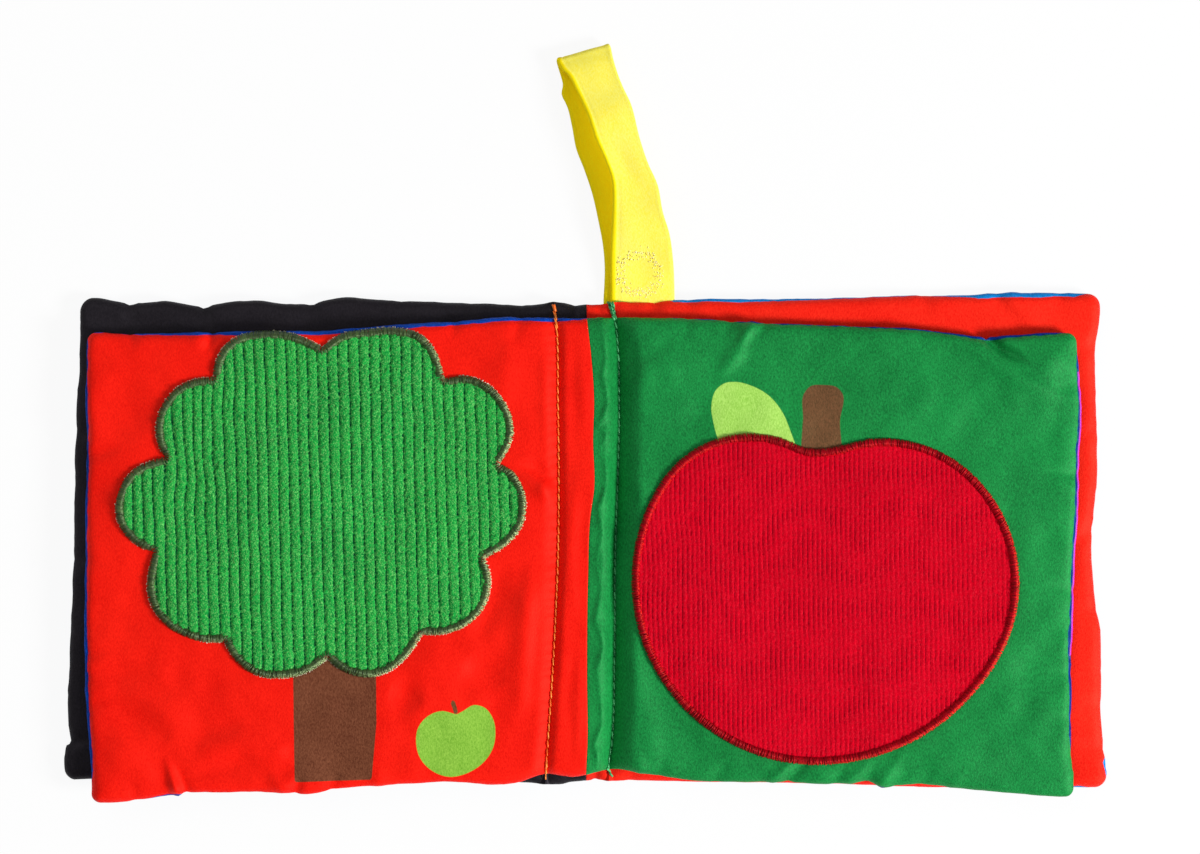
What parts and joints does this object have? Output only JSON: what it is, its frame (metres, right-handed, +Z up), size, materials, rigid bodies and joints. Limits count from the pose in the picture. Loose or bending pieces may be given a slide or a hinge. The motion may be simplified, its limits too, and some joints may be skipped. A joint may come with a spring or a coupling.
{
  "type": "fabric activity book",
  "caption": "Padded cloth book lying open, with a corduroy tree crown and a corduroy apple sewn to its pages and a folded strap loop at its head.",
  "frame": {"origin": "on the resting face, under the middle of the spine strip", "axes": "+X to the right across both leaves, +Y towards the head of the book, +Z up out of the open pages"},
  "size_m": [0.3168, 0.2304, 0.0127],
  "materials": {
    "light_blue_satin": "soft satin-faced cloth",
    "black_satin": "soft satin-faced cloth",
    "red_satin": "soft satin-faced cloth, printed",
    "green_satin": "soft satin-faced cloth, printed",
    "blue_satin": "soft satin-faced cloth",
    "batting": "loose polyester fibre",
    "green_corduroy": "wide-wale cotton corduroy",
    "olive_thread": "satin-stitched rayon thread",
    "crimson_corduroy": "fine-wale cotton corduroy",
    "crimson_thread": "satin-stitched rayon thread",
    "yellow_cloth": "folded woven cloth"
  },
  "bodies": {
    "spine": {"cover_spine_outer_cloth": "light_blue_satin", "cover_spine_inner_cloth": "black_satin", "cover_spine_batting": "batting", "page_spine_back_cloth": "blue_satin", "page_spine_front_cloth": "green_satin", "page_spine_batting": "batting"},
    "left_leaf": {"cover_left_outer_cloth": "light_blue_satin", "cover_left_inner_cloth": "black_satin", "cover_left_batting": "batting", "page_left_back_cloth": "blue_satin", "page_left_front_cloth": "red_satin", "page_left_batting": "batting", "tree_crown_patch": "green_corduroy", "tree_crown_border": "olive_thread"},
    "right_leaf": {"cover_right_outer_cloth": "light_blue_satin", "cover_right_inner_cloth": "red_satin", "cover_right_batting": "batting", "page_right_back_cloth": "blue_satin", "page_right_front_cloth": "green_satin", "page_right_batting": "batting", "apple_patch": "crimson_corduroy", "apple_border": "crimson_thread", "hanging_loop": "yellow_cloth"}
  },
  "joints": [
    {"name": "left_cover_hinge", "type": "hinge", "parent": "spine", "child": "left_leaf", "pos_m": [-0.0093, 0, 0.00565], "axis": [0, 1, 0], "range_deg": [0, 90]},
    {"name": "right_cover_hinge", "type": "hinge", "parent": "spine", "child": "right_leaf", "pos_m": [0.0093, 0, 0.00565], "axis": [0, -1, 0], "range_deg": [0, 90]}
  ]
}
